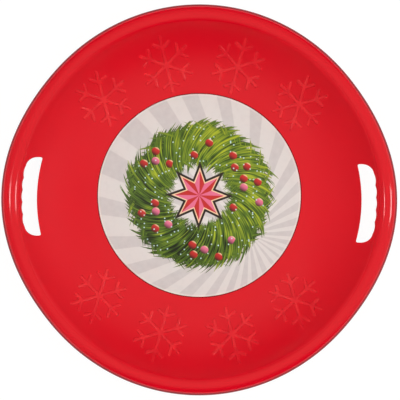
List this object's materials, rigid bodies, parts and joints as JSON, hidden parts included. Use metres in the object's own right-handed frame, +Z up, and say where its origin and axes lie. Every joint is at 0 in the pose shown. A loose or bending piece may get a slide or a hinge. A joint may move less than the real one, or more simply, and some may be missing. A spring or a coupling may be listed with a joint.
{
  "type": "saucer sled",
  "caption": "Round dish-shaped plastic snow sled with a rolled rim, hand slots with finger grips in the sides, raised snowflakes on the bowl and a round printed label.",
  "frame": {"origin": "centre of the flat underside, on the ground", "axes": "+Z up out of the bowl, +X through the two hand slots, +Y towards the upper edge of the picture"},
  "size_m": [0.6, 0.5924, 0.062],
  "materials": {
    "red_plastic": "glossy injection-moulded polyethylene",
    "label_film": "printed self-adhesive film, satin"
  },
  "bodies": {
    "root": {"sled_dish": "red_plastic", "centre_label": "label_film"}
  },
  "joints": []
}
